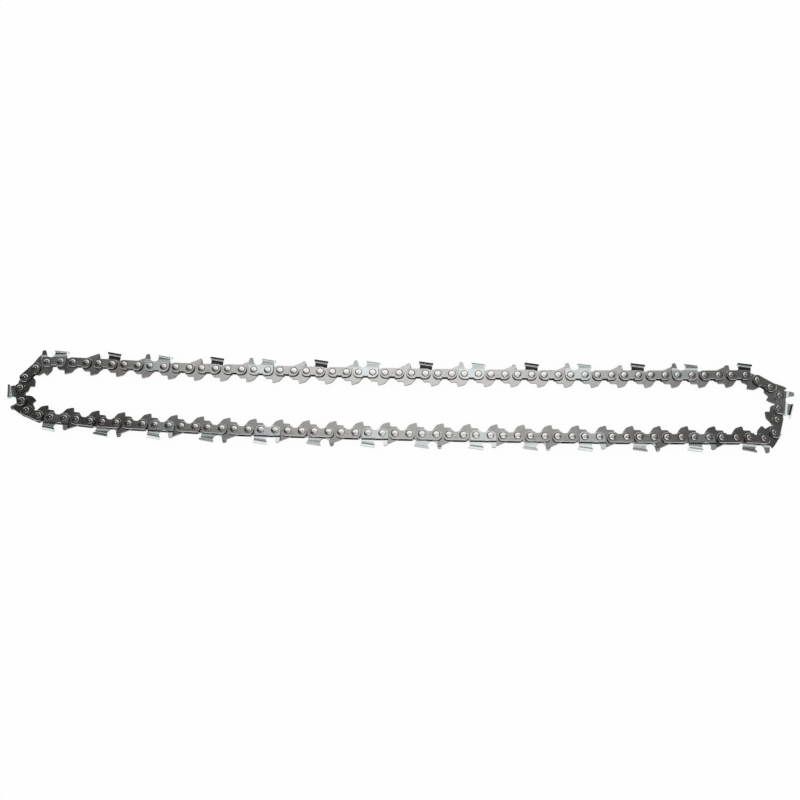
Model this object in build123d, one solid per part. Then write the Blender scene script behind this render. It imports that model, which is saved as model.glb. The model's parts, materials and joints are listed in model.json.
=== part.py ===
from build123d import *
import math
import os

# Chainsaw chain loop of the low-profile kind, lying on its side.
# X runs along the loop, Y across it and Z up, along every rivet. The origin is on the surface that the
# chain lies on, in the middle of the loop. Drive links and strap links take turns round the loop, clockwise
# as seen from above. Each link has its own frame: x from its leading rivet to its trailing one, y away from
# the guide bar, z up, with z = 0 in the middle of the chain. Lengths are in millimetres, angles in degrees.

# Pitch of the two kinds of link, rivet to rivet
STRAP_PITCH = 9.91
DRIVE_PITCH = 8.71

# Thicknesses across the chain
DRIVE_THICKNESS = 1.3
STRAP_THICKNESS = 1.3
SIDE_GAP = 0.05
RIVET_HEAD_HEIGHT = 0.55

# Rivet
BEARING_DIAMETER = 4.9
BEARING_CLEARANCE = 0.05
HUB_DIAMETER = 3.7
RIVET_HEAD_DIAMETER = 4.7
RIVET_FLAT_DIAMETER = 1.4
RIVET_CROWN_RADIUS = 18.0
RIVET_EDGE_RADIUS = 0.3
DIMPLE_DIAMETER = 0.8
DIMPLE_DEPTH = 0.05

# Tie strap, and the strap body of a cutter
STRAP_END_RADIUS = 3.65
STRAP_BACK = 3.85
STRAP_CORNER_RADIUS = 2.7
WAIST_WIDTH = 4.4
WAIST_DEPTH = 1.1
WAIST_SLOPE = 0.7
WAIST_RADIUS = 0.8
STRAP_EDGE_BREAK = 0.2

# Drive link
DRIVE_END_REACH = 3.9
DRIVE_BACK = 3.6
DRIVE_CORNER_RADIUS = 2.4
DRIVE_LEAD_DEPTH = 1.0
SHOULDER_DEPTH = 5.9
SHOULDER_START = -0.9
SHOULDER_END = 3.4
SHOULDER_RADIUS = 1.4
HOOK_RADIUS = 0.8
TANG_DEPTH = 8.85
TANG_TIP_START = 4.0
TANG_TIP_WIDTH = 1.2
TANG_TIP_RADIUS = 0.35
TANG_HEEL_RADIUS = 1.0
TANG_BACK_START = 8.9
TANG_BACK_DEPTH = 7.6
TANG_BACK_RADIUS = 3.0
DRIVE_HEEL_DEPTH = 2.4
DRIVE_HEEL_RADIUS = 2.0
DRIVE_EDGE_BREAK = 0.1

# Ramped bumper on every second drive link
BUMPER_LEAD_HEIGHT = 3.0
BUMPER_CREST_START = 5.2
BUMPER_CREST_HEIGHT = 7.4
BUMPER_CREST_RADIUS = 3.0
BUMPER_TIP = 7.8
BUMPER_HEIGHT = 8.2
BUMPER_RADIUS = 0.3
BUMPER_FOOT_RADIUS = 0.8

# Depth gauge of a cutter, ahead of its leading rivet
GAUGE_REACH = 4.1
GAUGE_TOP = 9.3
GAUGE_TOP_REACH = 3.7
GAUGE_TOP_WIDTH = 2.4
GAUGE_FALL = 0.7
GAUGE_FOOT = 0.2
GAUGE_RADIUS = 0.7
GULLET_RADIUS = 2.4

# Set of a cutter: past a crease along its strap body, the gauge and the blade step outwards
CREASE_HEIGHT = 3.9
SET_HEIGHT = 5.3
SET_STEP = 0.38

# Blade of a cutter, over its trailing rivet: a side plate that rounds over into a top plate
BLADE_FRONT_REACH = 5.2
BLADE_REAR_REACH = 4.2
BLADE_TOP = 10.5
BLADE_SLOPE_ANGLE = 8.0
BLADE_ROOT = 6.7
BLADE_LAP = 0.2
SIDE_LEAN_ANGLE = 2.0
TOP_TILT_ANGLE = 8.0
TOP_OVERHANG = 0.8
TOP_BEND_RADIUS = 1.3
CUTTER_END_REACH = 4.0
CUTTER_END_RADIUS = 3.4
HEEL_HEIGHT = 3.6
HEEL_RADIUS = 0.8

# Slanted rear of the blade, and its filed front
TRIM_ANGLE = 20.0
FILING_ANGLE = 8.0
FILE_DIAMETER = 6.0
FILE_BITE = 0.9
FILE_DROP = 3.65

# Lie of the loop: links in each straight run, and the heading of each run and of each link at the ends
RUN_LINKS = (10, 10, 8, 10, 10)
RUN_HEADINGS = (-1.5, 0.0, 0.5, 1.0, 1.5)
RIGHT_HEADINGS = (1.5, 1.5, 1.5, 1.0, -25.0, -32.0, -46.0, -99.0, -102.0, -105.0, -147.0, -181.0)
LEFT_HEADINGS = (-183.0, -185.0, -184.0, -182.0, -185.0, -202.0,
                 -238.0, -254.0, -284.0, -311.0, -327.0, -357.0)
CLOSING_STEPS = 12

# Values that follow from the driving dimensions
DRIVE_FACE = DRIVE_THICKNESS / 2
STRAP_INNER = DRIVE_FACE + SIDE_GAP
STRAP_OUTER = STRAP_INNER + STRAP_THICKNESS
HALF_WIDTH = STRAP_OUTER + RIVET_HEAD_HEIGHT
DRIVE_HOLE_DIAMETER = BEARING_DIAMETER + 2 * BEARING_CLEARANCE
STRAP_END = STRAP_PITCH + STRAP_END_RADIUS
DRIVE_END = DRIVE_PITCH + DRIVE_END_REACH
BLADE_LENGTH = BLADE_FRONT_REACH + BLADE_REAR_REACH
BLADE_FRONT = STRAP_PITCH - BLADE_FRONT_REACH
BLADE_REAR = STRAP_PITCH + BLADE_REAR_REACH
CUTTER_END = STRAP_PITCH + CUTTER_END_REACH
BLADE_SLOPE = math.tan(math.radians(BLADE_SLOPE_ANGLE))
SIDE_LEAN = math.tan(math.radians(SIDE_LEAN_ANGLE))
TOP_TILT = math.tan(math.radians(TOP_TILT_ANGLE))
SET_INNER = STRAP_INNER + SET_STEP
SET_OUTER = STRAP_OUTER + SET_STEP
BLADE_OUTER = SET_OUTER + (BLADE_TOP - SET_HEIGHT) * SIDE_LEAN
TRIM_STEP = STRAP_THICKNESS * math.tan(math.radians(TRIM_ANGLE))
WASTE = 4 * BLADE_LENGTH, 4 * BLADE_TOP, 8 * HALF_WIDTH


def rounded_outline(corners):
    """Face inside straight sides that meet at the given corners, each an (x, y, radius)."""
    count = len(corners)
    rounds = []
    for index, (x, y, radius) in enumerate(corners):
        corner = Vector(x, y)
        back = (Vector(*corners[index - 1][:2]) - corner).normalized()
        ahead = (Vector(*corners[(index + 1) % count][:2]) - corner).normalized()
        half_angle = math.radians(back.get_angle(ahead)) / 2
        reach = radius / math.tan(half_angle)
        depth = radius / math.sin(half_angle) - radius
        middle = corner + (back + ahead).normalized() * depth
        rounds.append((corner + back * reach, middle, corner + ahead * reach))
    edges = []
    for index, (start, middle, end) in enumerate(rounds):
        if corners[index][2] > 0:
            edges.append(ThreePointArc(start, middle, end))
        edges.append(Line(end, rounds[(index + 1) % count][0]))
    return make_face(edges)


def link_plate(face, bottom, top, hole_diameter, pitch):
    """Flat plate between two heights, with a round hole at each rivet."""
    blank = extrude(Pos(0, 0, bottom) * face, amount=top - bottom)
    drill = Cylinder(hole_diameter / 2, 4 * (top - bottom))
    middle = (bottom + top) / 2
    return blank - Pos(0, 0, middle) * drill - Pos(pitch, 0, middle) * drill


def break_edges(blank, height, length):
    """Plate with a chamfer round the outer outline of its face at the given height."""
    face = blank.faces().filter_by(Axis.Z).sort_by(lambda flat: abs(flat.center().Z - height))[0]
    return chamfer(face.outer_wire().edges(), length)


def strap_feet(trailing_end, trailing_radius):
    """Corners of a strap's inner side, from the leading end to the given trailing one."""
    middle = STRAP_PITCH / 2
    half = WAIST_WIDTH / 2
    waist = WAIST_DEPTH - STRAP_END_RADIUS
    return [
        (-STRAP_END_RADIUS, -STRAP_END_RADIUS, STRAP_END_RADIUS),
        (middle - half, -STRAP_END_RADIUS, WAIST_RADIUS),
        (middle - half + WAIST_SLOPE, waist, WAIST_RADIUS),
        (middle + half - WAIST_SLOPE, waist, WAIST_RADIUS),
        (middle + half, -STRAP_END_RADIUS, WAIST_RADIUS),
        (trailing_end, -STRAP_END_RADIUS, trailing_radius),
    ]


def make_tie_strap():
    """Outer plate that joins two rivets, on the upper side of the chain."""
    back = [
        (STRAP_END, STRAP_BACK, STRAP_CORNER_RADIUS),
        (-STRAP_END_RADIUS, STRAP_BACK, STRAP_CORNER_RADIUS),
    ]
    face = rounded_outline(strap_feet(STRAP_END, STRAP_END_RADIUS) + back)
    blank = link_plate(face, STRAP_INNER, STRAP_OUTER, HUB_DIAMETER, STRAP_PITCH)
    return break_edges(blank, STRAP_OUTER, STRAP_EDGE_BREAK)


def make_drive_link(with_bumper):
    """Middle plate with a tang that runs in the bar's groove, with or without a bumper."""
    inner = [
        (-DRIVE_END_REACH, -DRIVE_LEAD_DEPTH, DRIVE_HEEL_RADIUS),
        (SHOULDER_START, -SHOULDER_DEPTH, SHOULDER_RADIUS),
        (SHOULDER_END, -SHOULDER_DEPTH, HOOK_RADIUS),
        (TANG_TIP_START, -TANG_DEPTH, TANG_TIP_RADIUS),
        (TANG_TIP_START + TANG_TIP_WIDTH, -TANG_DEPTH, TANG_HEEL_RADIUS),
        (TANG_BACK_START, -TANG_BACK_DEPTH, TANG_BACK_RADIUS),
        (DRIVE_END, -DRIVE_HEEL_DEPTH, DRIVE_HEEL_RADIUS),
        (DRIVE_END, DRIVE_BACK, DRIVE_CORNER_RADIUS),
    ]
    bumper = [
        (BUMPER_TIP, DRIVE_BACK, BUMPER_FOOT_RADIUS),
        (BUMPER_TIP, BUMPER_HEIGHT, BUMPER_RADIUS),
        (BUMPER_CREST_START, BUMPER_CREST_HEIGHT, BUMPER_CREST_RADIUS),
        (-DRIVE_END_REACH, BUMPER_LEAD_HEIGHT, DRIVE_CORNER_RADIUS),
    ]
    plain = [(-DRIVE_END_REACH, DRIVE_BACK, DRIVE_CORNER_RADIUS)]
    face = rounded_outline(inner + (bumper if with_bumper else plain))
    blank = link_plate(face, -DRIVE_FACE, DRIVE_FACE, DRIVE_HOLE_DIAMETER, DRIVE_PITCH)
    blank = break_edges(blank, DRIVE_FACE, DRIVE_EDGE_BREAK)
    return break_edges(blank, -DRIVE_FACE, DRIVE_EDGE_BREAK)


def across_chain(corners, start, length, fall=0.0, drift=0.0):
    """Bar along the link with a section in (y, z), falling and drifting sideways by the given slopes."""
    plane = Plane(origin=(start, 0, 0), x_dir=(0, 1, 0), z_dir=(1, 0, 0))
    along = length * Vector(1, -fall, -drift)
    return extrude(plane * rounded_outline(corners), amount=along.length, dir=along.normalized())


def make_cutter_body():
    """Strap body of a cutter, its depth gauge and the root of its blade set outwards past the crease."""
    filed_front = BLADE_FRONT + FILE_BITE
    root = BLADE_ROOT + BLADE_LAP
    back = [
        (CUTTER_END, HEEL_HEIGHT, HEEL_RADIUS),
        (BLADE_REAR + TRIM_STEP, root - BLADE_SLOPE * (BLADE_LENGTH + TRIM_STEP), 0),
        (filed_front, root - BLADE_SLOPE * FILE_BITE, 0),
        (filed_front, STRAP_BACK, GULLET_RADIUS),
        (GAUGE_FOOT, STRAP_BACK, GULLET_RADIUS),
        (GAUGE_TOP_WIDTH - GAUGE_TOP_REACH, GAUGE_TOP, GAUGE_RADIUS),
        (-GAUGE_TOP_REACH, GAUGE_TOP - GAUGE_FALL, GAUGE_RADIUS),
        (-GAUGE_REACH, STRAP_BACK, STRAP_CORNER_RADIUS),
    ]
    face = rounded_outline(strap_feet(CUTTER_END, CUTTER_END_RADIUS) + back)
    flat = break_edges(link_plate(face, STRAP_INNER, STRAP_OUTER, HUB_DIAMETER, STRAP_PITCH),
                       STRAP_OUTER, STRAP_EDGE_BREAK)
    flat -= Pos(0, CREASE_HEIGHT, 0) * Box(*WASTE, align=(Align.CENTER, Align.MIN, Align.CENTER))
    lean = (GAUGE_TOP - SET_HEIGHT) * SIDE_LEAN
    step = across_chain([
        (CREASE_HEIGHT, STRAP_OUTER, 0),
        (SET_HEIGHT, SET_OUTER, 0),
        (GAUGE_TOP, SET_OUTER + lean, 0),
        (GAUGE_TOP, SET_INNER + lean, 0),
        (SET_HEIGHT, SET_INNER, 0),
        (CREASE_HEIGHT, STRAP_INNER, 0),
    ], -STRAP_PITCH, 3 * STRAP_PITCH)
    return flat + (step & extrude(face, amount=2 * HALF_WIDTH))


def make_blade():
    """Side plate that leans outwards and rounds over into the top plate, slanted at the front."""
    edge_top = BLADE_TOP - (BLADE_OUTER + TOP_OVERHANG) * TOP_TILT
    under_top = BLADE_TOP - STRAP_THICKNESS * (1 + TOP_TILT)
    under_side = SET_INNER + (under_top - SET_HEIGHT) * SIDE_LEAN
    root_lean = (BLADE_ROOT - SET_HEIGHT) * SIDE_LEAN
    blank = across_chain([
        (BLADE_ROOT, SET_OUTER + root_lean, 0),
        (BLADE_TOP, BLADE_OUTER, TOP_BEND_RADIUS + STRAP_THICKNESS),
        (edge_top, -TOP_OVERHANG, 0),
        (edge_top - STRAP_THICKNESS, -TOP_OVERHANG, 0),
        (under_top, under_side, TOP_BEND_RADIUS),
        (BLADE_ROOT, SET_INNER + root_lean, 0),
    ], BLADE_FRONT, 2 * BLADE_LENGTH, BLADE_SLOPE, BLADE_SLOPE * SIDE_LEAN)
    front = Box(*WASTE, align=(Align.MAX, Align.CENTER, Align.CENTER))
    return blank - Pos(BLADE_FRONT, 0, BLADE_OUTER) * Rot(0, -FILING_ANGLE, 0) * front


def make_cutter():
    """Cutter on the upper side of the chain, its blade trimmed at the rear and hollowed by a round file."""
    rear = Box(*WASTE, align=(Align.MIN, Align.CENTER, Align.CENTER))
    blank = make_cutter_body() + make_blade()
    blank -= Pos(BLADE_REAR, 0, STRAP_OUTER) * Rot(0, -TRIM_ANGLE, 0) * rear
    file = Cylinder(FILE_DIAMETER / 2, 8 * HALF_WIDTH)
    file_centre = Pos(BLADE_FRONT + FILE_BITE - FILE_DIAMETER / 2, BLADE_TOP - FILE_DROP, BLADE_OUTER)
    return blank - file_centre * Rot(0, -FILING_ANGLE, 0) * file


def make_rivet():
    """Rivet with a bearing in the drive link, a hub in each strap and a crowned head at each end."""
    head, flat = RIVET_HEAD_DIAMETER / 2, RIVET_FLAT_DIAMETER / 2
    hub, bearing = HUB_DIAMETER / 2, BEARING_DIAMETER / 2
    dimple = (0, HALF_WIDTH - DIMPLE_DEPTH)
    crown_base = HALF_WIDTH - RIVET_CROWN_RADIUS
    shoulder, rim = ((out, crown_base + math.sqrt(RIVET_CROWN_RADIUS ** 2 - (out - flat) ** 2))
                     for out in ((flat + head) / 2, head))
    top = Polyline(dimple, (DIMPLE_DIAMETER / 2, HALF_WIDTH), (flat, HALF_WIDTH))
    crown = ThreePointArc((flat, HALF_WIDTH), shoulder, rim)
    shank = Polyline(rim, (head, STRAP_OUTER), (hub, STRAP_OUTER), (hub, STRAP_INNER),
                     (bearing, STRAP_INNER), (bearing, 0), (0, 0), dimple)
    profile = make_face([top, crown, shank])
    profile = fillet(profile.vertices().sort_by_distance(rim)[0], RIVET_EDGE_RADIUS)
    half = revolve(Plane.XZ * profile, Axis.Z)
    return half + mirror(half, about=Plane.XY)


def link_length(index):
    """Pitch of a link counted round the loop, drive links at even numbers."""
    return STRAP_PITCH if index % 2 else DRIVE_PITCH


def close_ends():
    """Headings of the end links, turned by the least amount that makes the two end chords cancel."""
    angles = [math.radians(heading) for heading in LEFT_HEADINGS + RIGHT_HEADINGS]
    lengths = [link_length(index) for index in range(len(angles))]
    for _ in range(CLOSING_STEPS):
        links = list(zip(lengths, angles))
        steps = [(length * math.cos(angle), length * math.sin(angle)) for length, angle in links]
        gap_x = sum(x for x, y in steps)
        gap_y = sum(y for x, y in steps)
        along = sum(x * x for x, y in steps)
        across = sum(y * y for x, y in steps)
        mixed = sum(x * y for x, y in steps)
        scale = along * across - mixed * mixed
        pull_x = (along * gap_x + mixed * gap_y) / scale
        pull_y = (across * gap_y + mixed * gap_x) / scale
        angles = [angle + y * pull_x - x * pull_y for angle, (x, y) in zip(angles, steps)]
    headings = [math.degrees(angle) for angle in angles]
    return headings[:len(LEFT_HEADINGS)], headings[len(LEFT_HEADINGS):]


def lay_out():
    """Stretches of the loop in order, each a name and the headings of its links."""
    left, right = close_ends()
    runs = list(enumerate(zip(RUN_LINKS, RUN_HEADINGS), start=1))
    upper = [(f"upper_run_{number}", [heading] * links) for number, (links, heading) in runs]
    lower = [(f"lower_run_{number}", [heading - 180] * links) for number, (links, heading) in reversed(runs)]
    return upper + [("right_end", right)] + lower + [("left_end", left)]


def build_loop():
    """Solids of every node, and the rivet where each stretch starts."""
    tie_strap, rivet = make_tie_strap(), make_rivet()
    cutter = make_cutter()
    lower_strap, lower_cutter = (mirror(solid, about=Plane.XY) for solid in (tie_strap, cutter))
    drive_links = [make_drive_link(False), make_drive_link(True)]
    nodes, starts = {}, {}
    pivot, index = Vector(0, 0), 0
    for stretch, headings in lay_out():
        starts[stretch] = pivot
        for heading in headings:
            place = Location((pivot.X, pivot.Y, 0), (0, 0, heading))
            number = index // 2
            pieces = []
            if index % 2 == 0:
                pieces.append(("drive_links", drive_links[number % 2]))
            else:
                is_right, is_left = number % 4 == 1, number % 4 == 3
                pieces.append(("left_cutters", cutter) if is_left else ("tie_straps", tie_strap))
                pieces.append(("right_cutters", lower_cutter) if is_right else ("tie_straps", lower_strap))
                pieces.append(("rivets", rivet))
                pieces.append(("rivets", Pos(STRAP_PITCH, 0, 0) * rivet))
            for kind, solid in pieces:
                nodes.setdefault(f"{stretch}_{kind}", []).append(place * solid)
            angle = math.radians(heading)
            pivot += Vector(math.cos(angle), math.sin(angle)) * link_length(index)
            index += 1
    return nodes, starts


nodes, starts = build_loop()
boxes = [solid.bounding_box() for solids in nodes.values() for solid in solids]
middle_x = (min(box.min.X for box in boxes) + max(box.max.X for box in boxes)) / 2
middle_y = (min(box.min.Y for box in boxes) + max(box.max.Y for box in boxes)) / 2
to_origin = Pos(-middle_x, -middle_y, -min(box.min.Z for box in boxes))

os.makedirs("parts", exist_ok=True)
for name, solids in nodes.items():
    export_step(Compound([to_origin * solid for solid in solids]), f"parts/{name}.step")
for stretch, pivot in starts.items():
    print(f"{stretch} starts at x {pivot.X - middle_x:.6f} y {pivot.Y - middle_y:.6f}")
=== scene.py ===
import json
import logging
import math
from dataclasses import dataclass
from enum import Enum
from typing import Any, Mapping, Sequence, Union

import bpy
import numpy as np
from mathutils import Matrix, Vector

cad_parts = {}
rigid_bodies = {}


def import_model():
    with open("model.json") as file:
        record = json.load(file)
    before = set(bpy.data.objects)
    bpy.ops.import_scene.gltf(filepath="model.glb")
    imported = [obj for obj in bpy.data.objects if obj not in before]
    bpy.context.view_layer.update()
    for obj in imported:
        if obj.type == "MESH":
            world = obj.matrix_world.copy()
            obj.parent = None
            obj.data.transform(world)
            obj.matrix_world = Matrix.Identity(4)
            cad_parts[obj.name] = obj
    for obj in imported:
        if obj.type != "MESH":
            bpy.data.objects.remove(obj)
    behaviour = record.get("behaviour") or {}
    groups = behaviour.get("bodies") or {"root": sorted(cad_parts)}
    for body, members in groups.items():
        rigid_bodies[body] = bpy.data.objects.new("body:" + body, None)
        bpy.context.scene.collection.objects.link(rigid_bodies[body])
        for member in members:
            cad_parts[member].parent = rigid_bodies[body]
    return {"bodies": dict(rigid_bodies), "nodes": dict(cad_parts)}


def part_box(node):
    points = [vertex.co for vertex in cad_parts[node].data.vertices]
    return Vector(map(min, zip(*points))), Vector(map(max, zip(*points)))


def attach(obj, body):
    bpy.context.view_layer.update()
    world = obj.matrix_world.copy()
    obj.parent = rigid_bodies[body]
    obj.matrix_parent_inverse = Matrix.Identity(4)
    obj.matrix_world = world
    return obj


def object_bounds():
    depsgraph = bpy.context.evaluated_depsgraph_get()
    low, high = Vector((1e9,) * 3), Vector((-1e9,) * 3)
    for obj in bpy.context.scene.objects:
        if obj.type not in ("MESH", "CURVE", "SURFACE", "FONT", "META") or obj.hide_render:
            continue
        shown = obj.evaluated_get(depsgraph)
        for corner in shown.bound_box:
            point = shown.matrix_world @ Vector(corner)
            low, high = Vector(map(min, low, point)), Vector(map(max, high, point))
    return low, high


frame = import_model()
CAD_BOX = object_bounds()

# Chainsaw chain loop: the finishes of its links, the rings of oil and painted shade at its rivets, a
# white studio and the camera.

LOG = logging.getLogger("chain_loop")
MM = 0.001
MID_HEIGHT = (CAD_BOX[0].z + CAD_BOX[1].z) / 2

Colour = tuple[float, float, float]
Span = tuple[float, float]
Value = Union[float, "Signal"]

WHITE = (1.0, 1.0, 1.0, 1.0)
# Share of a depth over which a finish changes into the next one.
SOFTNESS = 0.1


class Signal:
    """A shader socket that takes part in Python expressions, each operator adding one Math node."""

    def __init__(self, graph: "ShaderGraph", socket: bpy.types.NodeSocket | None) -> None:
        """Keep the socket and the graph that it belongs to."""
        self.graph = graph
        self.socket = socket

    def _math(self, operation: str, first: Value, second: Value = 0.0) -> "Signal":
        """Add a Math node.

        Args:
            operation: Blender's name for the operation.
            first: Left operand.
            second: Right operand, unused by functions of one value.

        Returns:
            The node's result.
        """
        return self.graph.node("ShaderNodeMath", {"operation": operation}, {0: first, 1: second})

    def __add__(self, other: Value) -> "Signal":
        """Sum."""
        return self._math("ADD", self, other)

    __radd__ = __add__

    def __sub__(self, other: Value) -> "Signal":
        """Difference."""
        return self._math("SUBTRACT", self, other)

    def __rsub__(self, other: Value) -> "Signal":
        """Difference from a plain number."""
        return self._math("SUBTRACT", other, self)

    def __mul__(self, other: Value) -> "Signal":
        """Product."""
        return self._math("MULTIPLY", self, other)

    __rmul__ = __mul__

    def __truediv__(self, other: Value) -> "Signal":
        """Quotient."""
        return self._math("DIVIDE", self, other)

    def __pow__(self, other: Value) -> "Signal":
        """Power."""
        return self._math("POWER", self, other)

    def __abs__(self) -> "Signal":
        """Size without sign."""
        return self._math("ABSOLUTE", self)

    def at_least(self, floor: Value) -> "Signal":
        """The larger of this value and another."""
        return self._math("MAXIMUM", self, floor)

    def at_most(self, ceiling: Value) -> "Signal":
        """The smaller of this value and another."""
        return self._math("MINIMUM", self, ceiling)

    def step(self, low: float, high: float) -> "Signal":
        """Smooth step from 0 at low to 1 at high, or the other way round where low is the larger.

        Args:
            low: Value that gives 0.
            high: Value that gives 1.

        Returns:
            The step, between 0 and 1.
        """
        ends = {"From Min": min(low, high), "From Max": max(low, high)}
        ends.update({"To Min": 0.0, "To Max": 1.0} if low < high else {"To Min": 1.0, "To Max": 0.0})
        settings = {"interpolation_type": "SMOOTHSTEP"}
        return self.graph.node("ShaderNodeMapRange", settings, {"Value": self, **ends})


class ShaderGraph:
    """A node tree that is written as expressions."""

    def __init__(self, tree: bpy.types.NodeTree) -> None:
        """Start an empty graph in the given tree."""
        self.tree = tree
        self.tree.nodes.clear()

    def node(self, kind: str, settings: Mapping[str, Any] | None = None,
             sockets: Mapping[Any, Any] | None = None, out: int | str = 0) -> Signal:
        """Add any node.

        Args:
            kind: Blender's type name of the node.
            settings: Properties of the node, set before its sockets. A list of (place, colour) under
                "stops" sets a colour ramp.
            sockets: Values or signals for the inputs, by name or number.
            out: Output that the signal stands for.

        Returns:
            The chosen output.
        """
        made = self.tree.nodes.new(kind)
        for name, value in (settings or {}).items():
            if name == "stops":
                self._set_stops(made.color_ramp, value)
            else:
                setattr(made, name, value)
        for name, value in (sockets or {}).items():
            if isinstance(value, Signal):
                self.tree.links.new(value.socket, made.inputs[name])
            else:
                made.inputs[name].default_value = value
        return Signal(self, made.outputs[out] if made.outputs else None)

    @staticmethod
    def _set_stops(ramp: bpy.types.ColorRamp, stops: Sequence[tuple[float, Colour]]) -> None:
        """Give a colour ramp its stops.

        Args:
            ramp: The ramp of a new node.
            stops: Place and colour of each stop, in order.
        """
        while len(ramp.elements) < len(stops):
            ramp.elements.new(1.0)
        for element, (place, colour) in zip(ramp.elements, stops):
            element.position = place
            element.color = (*colour, 1.0)

    def axes(self, vector: Signal) -> tuple[Signal, Signal, Signal]:
        """Split a vector.

        Args:
            vector: The vector.

        Returns:
            Its X, Y and Z.
        """
        outputs = self.node("ShaderNodeSeparateXYZ", None, {0: vector}).socket.node.outputs
        return Signal(self, outputs[0]), Signal(self, outputs[1]), Signal(self, outputs[2])

    def place(self) -> Signal:
        """Object coordinates in metres."""
        return self.node("ShaderNodeTexCoord", None, None, "Object")

    def levelness(self) -> Signal:
        """How level a face lies: 1 on the flats of the links, 0 on upright walls."""
        return abs(self.axes(self.node("ShaderNodeNewGeometry", None, None, "Normal"))[2])

    def rays(self, *kinds: str) -> Signal:
        """Tell rays apart.

        Args:
            kinds: Outputs of the Light Path node.

        Returns:
            1 for rays of these kinds, 0 for others.
        """
        outputs = self.node("ShaderNodeLightPath").socket.node.outputs
        first, *others = (Signal(self, outputs[kind]) for kind in kinds)
        return sum(others, first).at_most(1.0)

    def noise(self, place: Signal, size: float, detail: float = 2.0) -> Signal:
        """Cloudy pattern around 0.5, its features about one size across.

        Args:
            place: Coordinates in metres.
            size: Feature size in metres.
            detail: Octaves of finer noise.

        Returns:
            The pattern's value.
        """
        sockets = {"Vector": place, "Scale": 1.0 / size, "Detail": detail}
        return self.node("ShaderNodeTexNoise", {"noise_dimensions": "3D"}, sockets, "Fac")

    def streaks(self, place: Signal, angle: float, length: float, width: float) -> Signal:
        """Noise drawn out along one direction of the flat faces, as scratches are.

        Args:
            place: Coordinates in metres.
            angle: Direction of the streaks about Z, in degrees.
            length: Length of a streak in metres.
            width: Width of a streak in metres.

        Returns:
            The pattern's value, around 0.5.
        """
        turn = (0.0, 0.0, math.radians(-angle))
        stretch = (1.0 / length, 1.0 / width, 1.0 / length)
        spun = self.node("ShaderNodeMapping", {"vector_type": "POINT"}, {"Vector": place, "Rotation": turn})
        drawn = self.node("ShaderNodeMapping", {"vector_type": "POINT"}, {"Vector": spun, "Scale": stretch})
        return self.noise(drawn, 1.0, 1.0)

    def mix(self, share: Value, first: Any, second: Any) -> Signal:
        """Colour between two others.

        Args:
            share: 0 for the first colour, 1 for the second.
            first: Colour or signal.
            second: Colour or signal.

        Returns:
            The mixed colour.
        """
        pair = [colour if isinstance(colour, Signal) else (*colour, 1.0) for colour in (first, second)]
        return self.node("ShaderNodeMix", {"data_type": "RGBA", "clamp_factor": True},
                         {0: share, 6: pair[0], 7: pair[1]}, 2)

    def shade(self, colour: Signal, level: Value) -> Signal:
        """A colour made lighter or darker by a factor."""
        grey = self.node("ShaderNodeCombineXYZ", None, {0: level, 1: level, 2: level})
        return self.node("ShaderNodeVectorMath", {"operation": "MULTIPLY"}, {0: colour, 1: grey})

    def bump(self, height: Signal, depth: float) -> Signal:
        """Normal tilted by a height pattern.

        Args:
            height: Pattern from 0 to 1.
            depth: Height in metres that 1 stands for.

        Returns:
            The tilted normal.
        """
        sockets = {"Height": height, "Strength": 1.0, "Distance": depth}
        return self.node("ShaderNodeBump", None, sockets, "Normal")

    def surface(self, sockets: Mapping[str, Any]) -> None:
        """End the graph in a Principled surface with the given sockets."""
        shader = self.node("ShaderNodeBsdfPrincipled", None, sockets)
        self.node("ShaderNodeOutputMaterial", None, {"Surface": shader})


def start_material(name: str) -> tuple[bpy.types.Material, ShaderGraph]:
    """Make a material with no nodes yet.

    Args:
        name: The material's name.

    Returns:
        The material and its graph.
    """
    made = bpy.data.materials.new(name)
    made.use_nodes = True
    return made, ShaderGraph(made.node_tree)


class Slot(Enum):
    """Material slots of the record."""

    DRIVE = "drive_steel"
    STRAP = "strap_steel"
    CUTTER = "cutter_chrome"
    RIVET = "rivet_steel"


class LinkKind(Enum):
    """Kinds of node in each stretch of the chain, with the slot that each one wears."""

    DRIVE_LINKS = ("drive_links", Slot.DRIVE)
    TIE_STRAPS = ("tie_straps", Slot.STRAP)
    LEFT_CUTTERS = ("left_cutters", Slot.CUTTER)
    RIGHT_CUTTERS = ("right_cutters", Slot.CUTTER)
    RIVETS = ("rivets", Slot.RIVET)

    def __init__(self, suffix: str, slot: Slot) -> None:
        """Keep the ending of the node's name and its slot."""
        self.suffix = suffix
        self.slot = slot


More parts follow.
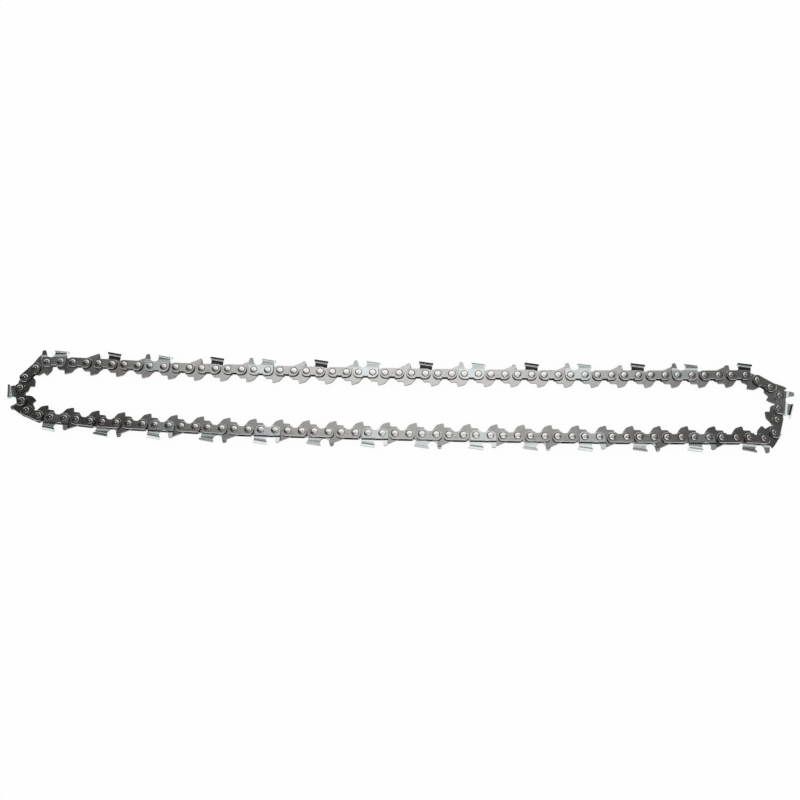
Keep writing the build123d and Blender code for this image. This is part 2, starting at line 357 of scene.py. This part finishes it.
@dataclass(frozen=True)
class PlateSteel:
    """Punched and tumbled steel plate: grained flats, bright edges and dark walls, in part painted light.

    A slope or a cut is the pair of values between which a mask goes from 0 to 1. A slope is one of
    levelness, a cut one of a pattern. A tone says how much a pattern lightens the colour, a gloss how
    much it changes the roughness. The broken edges are bright partly from tumbling wear and partly with
    a painted highlight. The sheared walls are dark partly as sheared steel and partly with painted
    shade. The faces between the plates near the middle of the chain take the wall colour as painted shade.
    """

    slot: Slot
    colour: Colour
    tints: tuple[Colour, Colour]
    # Colour of the broken edges: partly tumbled wear, partly a painted highlight.
    edge: Colour
    # Colour of the walls: partly dark sheared steel, partly painted shade.
    wall: Colour
    roughness: float
    wall_roughness: float = 0.5
    wall_slope: Span = (0.22, 0.10)
    edge_slope: Span = (0.985, 0.93)
    edge_end: Span = (0.45, 0.60)
    # Faces nearer the middle of the chain than this get the wall colour as painted shade between the
    # plates.
    shaded_depth: float = 0.5 * MM
    base_tone: float = 0.88
    grain: float = 0.3 * MM
    grain_depth: float = 0.004 * MM
    grain_tone: float = 0.08
    grain_gloss: float = 0.10
    cloud: float = 9.0 * MM
    cloud_tone: float = 0.16
    cloud_gloss: float = 0.12
    stain: float = 2.4 * MM
    stain_cut: Span = (0.50, 0.72)
    stain_level: float = 0.25
    # Painted shade: factor on the colour of the links of the run at negative Y.
    near_shade: float = 1.0
    near_reach: float = 10.0 * MM
    tint_size: float = 26.0 * MM
    tint_stops: tuple[float, float, float, float] = (0.30, 0.42, 0.57, 0.68)
    scratch_length: float = 3.0 * MM
    scratch_width: float = 0.06 * MM
    scratch_angles: tuple[float, float] = (28.0, -51.0)
    scratch_cuts: tuple[Span, Span] = ((0.62, 0.72), (0.63, 0.73))
    scratch_tone: float = 0.05
    scratch_gloss: float = 0.04
    scratch_relief: float = 0.35

    def material(self) -> bpy.types.Material:
        """Build the steel.

        Returns:
            A material on Object coordinates. Faces are told apart by how level they lie, and what is
            nearer to the middle of the chain than the given depth is as dark as the walls, a painted shade
            between the plates.
        """
        made, graph = start_material(self.slot.value + "_tumbled")
        place, level = graph.place(), graph.levelness()
        _, across, up = graph.axes(place)
        depth = abs(up - MID_HEIGHT)
        # Painted shade between the plates near the middle of the chain, joined to the painted shade on the
        # walls.
        between = depth.step((1 + SOFTNESS) * self.shaded_depth, (1 - SOFTNESS) * self.shaded_depth)
        wall = level.step(*self.wall_slope).at_least(between)
        # Painted highlight on the broken edges, partly also tumbling wear.
        edge = level.step(*self.edge_slope) * level.step(*self.edge_end)
        grain = graph.noise(place, self.grain, 3.0)
        cloud = graph.noise(place, self.cloud)
        stain = graph.noise(place, self.stain, 3.0).step(*self.stain_cut)
        crossed = [graph.streaks(place, angle, self.scratch_length, self.scratch_width).step(*cut)
                   for angle, cut in zip(self.scratch_angles, self.scratch_cuts)]
        scratch = crossed[0] + crossed[1]
        stops = list(zip(self.tint_stops, (self.tints[0], self.colour, self.colour, self.tints[1])))
        tint = graph.noise(place, self.tint_size, 1.0)
        flat = graph.node("ShaderNodeValToRGB", {"stops": stops}, {0: tint}, "Color")
        mottle = (self.cloud_tone * cloud + self.grain_tone * grain + self.scratch_tone * scratch
                  - self.stain_level * stain)
        # Painted shade: the run at negative Y is darkened by the near shade factor, fading in over the near
        # reach.
        near_run_shade = across.step(self.near_reach, -self.near_reach) * (1.0 - self.near_shade)
        flat = graph.shade(flat, (self.base_tone + mottle) * (1.0 - near_run_shade))
        colour = graph.mix(wall, graph.mix(edge, flat, self.edge), self.wall)
        rough = (self.roughness + self.grain_gloss * (grain - 0.5) + self.cloud_gloss * (cloud - 0.5)
                 - self.scratch_gloss * scratch + wall * (self.wall_roughness - self.roughness))
        tilt = graph.bump(grain - self.scratch_relief * scratch, self.grain_depth)
        graph.surface({"Base Color": colour, "Metallic": 1.0, "Roughness": rough, "Normal": tilt})
        return made


@dataclass(frozen=True)
class HardChrome:
    """Thin hard chrome over ground steel: bluish, smoother than the plates, with fine grinding lines.

    Slopes, cuts, tones and glosses are as in the plate steel.
    """

    slot: Slot
    colour: Colour
    tint: Colour
    # Colour of the walls: partly dark sheared steel, partly painted shade.
    wall: Colour
    # Colour of the painted shade on the inside of the side plate.
    inside: Colour
    roughness: float
    wall_slope: Span = (0.13, 0.05)
    inside_depth: float = 1.6 * MM
    inside_slope: Span = (0.80, 0.93)
    inside_gloss: float = 0.15
    # The painted shade inside the side plate fades in from minus this Y to plus this Y.
    shaded_from: float = 6.0 * MM
    ground_slope: Span = (0.88, 0.70)
    ground_gloss: float = 0.40
    ground_metal: float = 0.15
    base_tone: float = 0.92
    cloud: float = 7.0 * MM
    cloud_cut: Span = (0.42, 0.62)
    cloud_gloss: float = 0.10
    grain: float = 0.2 * MM
    grain_depth: float = 0.001 * MM
    grain_tone: float = 0.10
    grain_gloss: float = 0.08
    line_length: float = 5.0 * MM
    line_width: float = 0.04 * MM
    line_angle: float = 84.0
    line_tone: float = 0.05
    line_relief: float = 0.6

    def material(self) -> bpy.types.Material:
        """Build the chrome.

        Returns:
            A material on Object coordinates, dark on the walls, partly as sheared steel and partly with
            painted shade, and with painted shade on the inside of the side plate along the run at positive
            Y. Where the plate bends inside and under the top plate it is ground rough and less metallic.
        """
        made, graph = start_material(self.slot.value + "_satin")
        place, level = graph.place(), graph.levelness()
        _, across, up = graph.axes(place)
        depth = abs(up - MID_HEIGHT)
        # Walls darkened: partly sheared steel, partly painted shade.
        wall = level.step(*self.wall_slope)
        # Painted shade on the inside of the side plate, on the run at positive Y only.
        inside = depth.step((1 + SOFTNESS) * self.inside_depth, (1 - SOFTNESS) * self.inside_depth)
        inside = inside * across.step(-self.shaded_from, self.shaded_from) * level.step(*self.inside_slope)
        ground = depth.step(self.inside_depth, (1 - 2 * SOFTNESS) * self.inside_depth)
        ground = ground * level.step(*self.ground_slope)
        cloud = graph.noise(place, self.cloud)
        grain = graph.noise(place, self.grain)
        lines = graph.streaks(place, self.line_angle, self.line_length, self.line_width)
        flat = graph.mix(cloud.step(*self.cloud_cut), self.colour, self.tint)
        flat = graph.shade(flat, self.base_tone + self.grain_tone * grain + self.line_tone * lines)
        colour = graph.mix(inside, graph.mix(wall, flat, self.wall), self.inside)
        rough = (self.roughness + self.grain_gloss * (grain - 0.5) + self.cloud_gloss * (cloud - 0.5)
                 + self.inside_gloss * inside + self.ground_gloss * ground)
        metal = 1.0 - (1.0 - self.ground_metal) * ground
        tilt = graph.bump(self.line_relief * lines + (1.0 - self.line_relief) * grain, self.grain_depth)
        graph.surface({"Base Color": colour, "Metallic": metal, "Roughness": rough, "Normal": tilt})
        return made


@dataclass(frozen=True)
class SpunSteel:
    """Bright rivet heads, spun over cold: polished on top, rough and dark down their flanks.

    Slopes, cuts, tones and glosses are as in the plate steel. The flanks are dark partly from oil and
    partly with painted shade.
    """

    slot: Slot
    colour: Colour
    tint: Colour
    # Colour of the flanks: partly oil, partly painted shade.
    flank: Colour
    roughness: float
    flank_roughness: float = 0.45
    flank_slope: Span = (0.985, 0.90)
    base_tone: float = 0.94
    grain: float = 0.25 * MM
    grain_depth: float = 0.003 * MM
    grain_tone: float = 0.12
    grain_gloss: float = 0.10
    cloud: float = 14.0 * MM
    cloud_cut: Span = (0.3, 0.7)

    def material(self) -> bpy.types.Material:
        """Build the rivet steel.

        Returns:
            A material on Object coordinates, darker where the head falls away, partly as oil and partly as
            painted shade.
        """
        made, graph = start_material(self.slot.value + "_spun")
        place = graph.place()
        flank = graph.levelness().step(*self.flank_slope)
        cloud = graph.noise(place, self.cloud, 1.0)
        grain = graph.noise(place, self.grain, 3.0)
        top = graph.mix(cloud.step(*self.cloud_cut), self.colour, self.tint)
        top = graph.shade(top, self.base_tone + self.grain_tone * grain)
        # Dark flanks: partly oil, partly painted shade round the crown.
        colour = graph.mix(flank, top, self.flank)
        rough = (self.roughness + self.grain_gloss * (grain - 0.5)
                 + flank * (self.flank_roughness - self.roughness))
        tilt = graph.bump(grain, self.grain_depth)
        graph.surface({"Base Color": colour, "Metallic": 1.0, "Roughness": rough, "Normal": tilt})
        return made


Finish = Union[PlateSteel, HardChrome, SpunSteel]


@dataclass(frozen=True)
class OilAndShadeFilm:
    """Old chain oil, standing partly for painted shade: almost black where it is thick, brown where it
    thins, and glossy.
    """

    colour: Colour
    thin: Colour
    roughness: float
    cloud: float = 1.5 * MM
    cloud_cut: Span = (0.45, 0.75)
    cloud_gloss: float = 0.2

    def material(self) -> bpy.types.Material:
        """Build the oil.

        Returns:
            A material on Object coordinates, its colour and gloss in small clouds.
        """
        made, graph = start_material("chain_oil_and_shade")
        cloud = graph.noise(graph.place(), self.cloud)
        colour = graph.mix(cloud.step(*self.cloud_cut), self.colour, self.thin)
        graph.surface({"Base Color": colour, "Roughness": self.roughness + self.cloud_gloss * cloud})
        return made


@dataclass
class OilSeepAndShade:
    """Dark rings round both heads of every rivet in one stretch of the chain: partly oil that has crept
    out, partly painted shade at the foot of the heads.

    A ring starts at the inner radius, under the edge of the head, and reaches out by the width on its
    thick side, which is an angle in degrees about Z. The thick side is painted shade on one side of the
    heads.
    """

    stretch: str
    inner: float = 2.30 * MM
    width: float = 0.64 * MM
    height: float = 0.16 * MM
    shoulder: float = 0.4
    sink: float = 0.02 * MM
    top_band: float = 0.02 * MM
    # Direction of the painted shade about the heads: the side where the rings are thickest.
    shaded_side: float = 140.0
    thinning: float = 0.80
    unevenness: float = 0.12
    segments: int = 16

    def rivet_centres(self) -> np.ndarray:
        """Find the rivets.

        Points within the top band of the heads are grouped by the first point that is less than a head
        away, and a rivet is the middle of its group's box.

        Returns:
            X and Y of each rivet.
        """
        node = frame["nodes"][f"{self.stretch}_{LinkKind.RIVETS.suffix}"]
        flat = np.empty(3 * len(node.data.vertices))
        node.data.vertices.foreach_get("co", flat)
        spots = flat.reshape(-1, 3)
        tops = spots[spots[:, 2] > CAD_BOX[1].z - self.top_band][:, :2]
        near = np.linalg.norm(tops[:, None] - tops[None], axis=2) < 2 * self.inner
        _, rivet = np.unique(near.argmax(axis=1), return_inverse=True)
        low, high = np.full((2, rivet.max() + 1, 2), np.inf)
        np.minimum.at(low, rivet, tops)
        np.minimum.at(high, rivet, -tops)
        return (low - high) / 2

    def face_height(self) -> float:
        """Height of the straps' upper faces over the middle of the chain."""
        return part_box(f"{self.stretch}_{LinkKind.TIE_STRAPS.suffix}")[1].z - MID_HEIGHT

    def rings(self) -> np.ndarray:
        """Lay a ring of oil and painted shade at the foot of each head.

        A ring carries its profile round the rivet. The profile starts on the flank of the head and comes
        down to the strap with the square of the distance that is left, then goes back under the head. Its
        width swells to one side of the head and thins to the other with the cosine of the angle between
        them.

        Returns:
            Points in metres, by rivet, face, angle and place in the profile.
        """
        centres = self.rivet_centres()
        random = np.random.default_rng(sum(map(ord, self.stretch)))
        angle = np.linspace(0.0, 2 * np.pi, self.segments, endpoint=False)
        shift = random.normal(0.0, 2 * self.unevenness, (len(centres), 2, 1))
        # Painted shade: each ring swells towards one side of its head.
        swell = (1 - np.cos(angle - np.radians(self.shaded_side) + shift)) / 2
        uneven = random.normal(1.0, self.unevenness, (len(centres), 2, self.segments))
        reach = self.width * (1 - self.thinning * swell) * uneven
        along = np.array([0.0, self.shoulder, 1.0, 0.0])
        rise = np.array([self.height, self.height * (1 - self.shoulder) ** 2, -self.sink, -self.sink])
        radius = self.inner + reach[..., None] * along
        side = np.array([1.0, -1.0])[:, None, None]
        points = np.empty(radius.shape + (3,))
        points[..., 0] = centres[:, 0, None, None, None] + radius * np.cos(angle)[:, None]
        points[..., 1] = centres[:, 1, None, None, None] + radius * np.sin(angle)[:, None]
        points[..., 2] = MID_HEIGHT + side * (self.face_height() + rise)
        return points

    def build(self, material: bpy.types.Material) -> bpy.types.Object:
        """Make the piece.

        Args:
            material: The film of oil and painted shade.

        Returns:
            All the rings of the stretch, which ride on it.
        """
        points = self.rings()
        number = np.arange(points[..., 0].size).reshape(points.shape[:4])
        ahead = np.roll(number, -1, axis=2)
        quads = np.stack([number, ahead, np.roll(ahead, -1, axis=3), np.roll(number, -1, axis=3)], axis=-1)
        quads[:, 0] = quads[:, 0, ..., ::-1]
        # The piece is dark rings of oil and painted shade.
        mesh = bpy.data.meshes.new(f"oil_{self.stretch}")
        mesh.from_pydata(points.reshape(-1, 3).tolist(), [], quads.reshape(-1, 4).tolist())
        mesh.polygons.foreach_set("use_smooth", np.ones(len(mesh.polygons), dtype=bool))
        mesh.materials.append(material)
        piece = bpy.data.objects.new(f"oil_{self.stretch}", mesh)
        bpy.context.scene.collection.objects.link(piece)
        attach(piece, self.stretch)
        return piece


@dataclass
class ChainLoop:
    """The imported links, in the finishes of their slots."""

    finishes: Sequence[Finish]

    def dress(self) -> None:
        """Give every node the finish of its slot."""
        made = {finish.slot: finish.material() for finish in self.finishes}
        for name, node in frame["nodes"].items():
            kind = next(kind for kind in LinkKind if name.endswith(kind.suffix))
            node.material_slots[0].material = made[kind.slot]
            LOG.info("%s wears %s", name, made[kind.slot].name)


@dataclass(frozen=True)
class Panel:
    """Round softbox in the ceiling, placed by its direction: X and Y for each unit of height."""

    at: tuple[float, float]
    radius: float
    edge: float
    level: float

    def glow(self, across: Signal, back: Signal) -> Signal:
        """Light that it gives.

        Args:
            across: X of the direction for each unit of height.
            back: Y of the direction for each unit of height.

        Returns:
            Its level inside the disc, falling softly to 0 at the edge.
        """
        aside, behind = across - self.at[0], back - self.at[1]
        away = (aside * aside + behind * behind) ** 0.5
        return self.level * away.step(self.radius + self.edge, self.radius - self.edge)


# What the metal mirrors overhead. The first two light the flats of both runs, brightest in the middle, the
# next four the slanted blades and the flanks of the heads, the seventh the bends at the front, the eighth
# the heads at the left end, and the last is a faint fill at the right end.
SOFTBOXES = (
    Panel((-0.045, 0.70), radius=0.315, edge=0.075, level=0.95),
    Panel((-0.36, 0.76), radius=0.17, edge=0.06, level=0.95),
    Panel((0.05, 0.16), radius=0.20, edge=0.06, level=1.0),
    Panel((0.08, -0.22), radius=0.28, edge=0.10, level=0.7),
    Panel((-0.30, 0.00), radius=0.26, edge=0.10, level=0.4),
    Panel((0.90, -0.70), radius=0.45, edge=0.15, level=0.8),
    Panel((0.00, -1.10), radius=0.75, edge=0.20, level=0.28),
    Panel((-0.62, 0.73), radius=0.20, edge=0.06, level=0.95),
    Panel((0.45, 0.45), radius=0.28, edge=0.12, level=0.085),
)


@dataclass
class Studio:
    """White floor under a dim room with round softboxes, as the metal mirrors it."""

    panels: Sequence[Panel]
    floor_reach: float = 6.0
    floor_colour: Colour = (0.9, 0.9, 0.9)
    floor_glow: float = 0.93
    ceiling_level: float = 0.012
    sweep_level: float = 0.9
    sweep_edge: Span = (0.58, 0.35)
    side_fall: float = 0.35
    back_fall: float = 0.12
    horizon: float = 0.02

    def build_floor(self) -> bpy.types.Object:
        """Make the floor.

        Returns:
            A plain square at the height of the lowest rivet heads.
        """
        reach = self.floor_reach
        corners = [(-reach, -reach, 0.0), (reach, -reach, 0.0), (reach, reach, 0.0), (-reach, reach, 0.0)]
        mesh = bpy.data.meshes.new("floor")
        mesh.from_pydata(corners, [], [(0, 1, 2, 3)])
        mesh.materials.append(self._floor_material())
        floor = bpy.data.objects.new("floor", mesh)
        floor.location.z = CAD_BOX[0].z
        bpy.context.scene.collection.objects.link(floor)
        return floor

    def _floor_material(self) -> bpy.types.Material:
        """Make the floor white.

        Returns:
            A material that is white to the camera and in reflections, apart from a faint shadow.
        """
        made, graph = start_material("floor_white")
        seen = graph.rays("Is Camera Ray", "Is Glossy Ray", "Is Transmission Ray")
        matt = graph.node("ShaderNodeBsdfDiffuse", None, {"Color": (*self.floor_colour, 1.0)})
        glow = graph.node("ShaderNodeEmission", None, {"Color": WHITE, "Strength": 1.0})
        surface = graph.node("ShaderNodeMixShader", None, {0: seen * self.floor_glow, 1: matt, 2: glow})
        graph.node("ShaderNodeOutputMaterial", None, {"Surface": surface})
        return made

    def build_room(self) -> None:
        """Make the world: white to the camera and the floor, a dim room with softboxes to the metal."""
        world = bpy.data.worlds.new("studio_room")
        world.use_nodes = True
        graph = ShaderGraph(world.node_tree)
        x, y, z = graph.axes(graph.node("ShaderNodeTexCoord", None, None, "Generated"))
        height = z.at_least(self.horizon)
        across, back = x / height, y / height
        rim = z + self.side_fall * abs(x) + self.back_fall * y
        level = self.ceiling_level + self.sweep_level * rim.step(*self.sweep_edge)
        for panel in self.panels:
            level = level.at_least(panel.glow(across, back))
        seen = graph.rays("Is Camera Ray", "Is Diffuse Ray")
        room = graph.node("ShaderNodeBackground", None, {"Color": WHITE, "Strength": level})
        white = graph.node("ShaderNodeBackground", None, {"Color": WHITE, "Strength": 1.0})
        surface = graph.node("ShaderNodeMixShader", None, {0: seen, 1: room, 2: white})
        graph.node("ShaderNodeOutputWorld", None, {"Surface": surface})
        bpy.context.scene.world = world


@dataclass
class PhotoCamera:
    """Camera that looks down on the loop as the photograph does. Angles are in degrees."""

    elevation: float = 65.95
    azimuth: float = -6.37
    roll: float = 4.23
    distance: float = 851.5 * MM
    lens: float = 54.82
    sensor: float = 36.0
    clip: Span = (0.01, 100.0)
    target: tuple[float, float, float] = (3.28 * MM, 0.49 * MM, 2.55 * MM)

    def build(self) -> bpy.types.Object:
        """Make the scene's camera.

        Returns:
            The camera, aimed at the target from the given angles and distance.
        """
        tilt, turn, roll = (math.radians(angle) for angle in (self.elevation, self.azimuth, self.roll))
        ahead = Vector((math.sin(turn) * math.cos(tilt), math.cos(turn) * math.cos(tilt), -math.sin(tilt)))
        level = Vector((math.cos(turn), -math.sin(turn), 0.0))
        upright = level.cross(ahead)
        right = level * math.cos(roll) - upright * math.sin(roll)
        above = level * math.sin(roll) + upright * math.cos(roll)
        data = bpy.data.cameras.new("photo_camera")
        data.lens, data.sensor_width = self.lens, self.sensor
        data.clip_start, data.clip_end = self.clip
        camera = bpy.data.objects.new("photo_camera", data)
        turned = Matrix((right, above, -ahead)).transposed().to_4x4()
        camera.matrix_world = Matrix.Translation(Vector(self.target) - ahead * self.distance) @ turned
        bpy.context.scene.collection.objects.link(camera)
        bpy.context.scene.camera = camera
        return camera


FINISHES = (
    # The drive links of the run at negative Y get painted shade through near_shade.
    PlateSteel(Slot.DRIVE, colour=(0.72, 0.70, 0.68), tints=((0.73, 0.675, 0.67), (0.67, 0.68, 0.65)),
               edge=(0.78, 0.77, 0.75), wall=(0.26, 0.25, 0.24), roughness=0.15, stain_level=0.12,
               near_shade=0.78),
    # The straps' nearly black walls, and their faces between the plates, are painted shade.
    PlateSteel(Slot.STRAP, colour=(0.66, 0.655, 0.65), tints=((0.67, 0.64, 0.635), (0.63, 0.65, 0.635)),
               edge=(0.85, 0.84, 0.83), wall=(0.03, 0.03, 0.03), roughness=0.14, shaded_depth=1.2 * MM),
    HardChrome(Slot.CUTTER, colour=(0.88, 0.92, 0.93), tint=(0.82, 0.88, 0.88), wall=(0.13, 0.135, 0.14),
               inside=(0.05, 0.05, 0.052), roughness=0.16),
    SpunSteel(Slot.RIVET, colour=(0.98, 0.96, 0.93), tint=(0.96, 0.92, 0.88), flank=(0.22, 0.21, 0.20),
              roughness=0.11),
)
# Film for the rings: dark partly as oil, partly as painted shade.
OIL_AND_SHADE = OilAndShadeFilm(colour=(0.012, 0.010, 0.008), thin=(0.035, 0.026, 0.018), roughness=0.12)


def main() -> None:
    """Dress the chain and set up the studio and the camera."""
    logging.basicConfig(level=logging.INFO, format="%(name)s: %(message)s")
    bpy.context.scene.view_settings.view_transform = "Standard"
    ChainLoop(FINISHES).dress()
    oil = OIL_AND_SHADE.material()
    # Rings of oil and painted shade round the heads of each stretch.
    for stretch in frame["bodies"]:
        LOG.info("made %s", OilSeepAndShade(stretch).build(oil).name)
    studio = Studio(SOFTBOXES)
    studio.build_floor()
    studio.build_room()
    PhotoCamera().build()


if __name__ == "__main__":
    main()
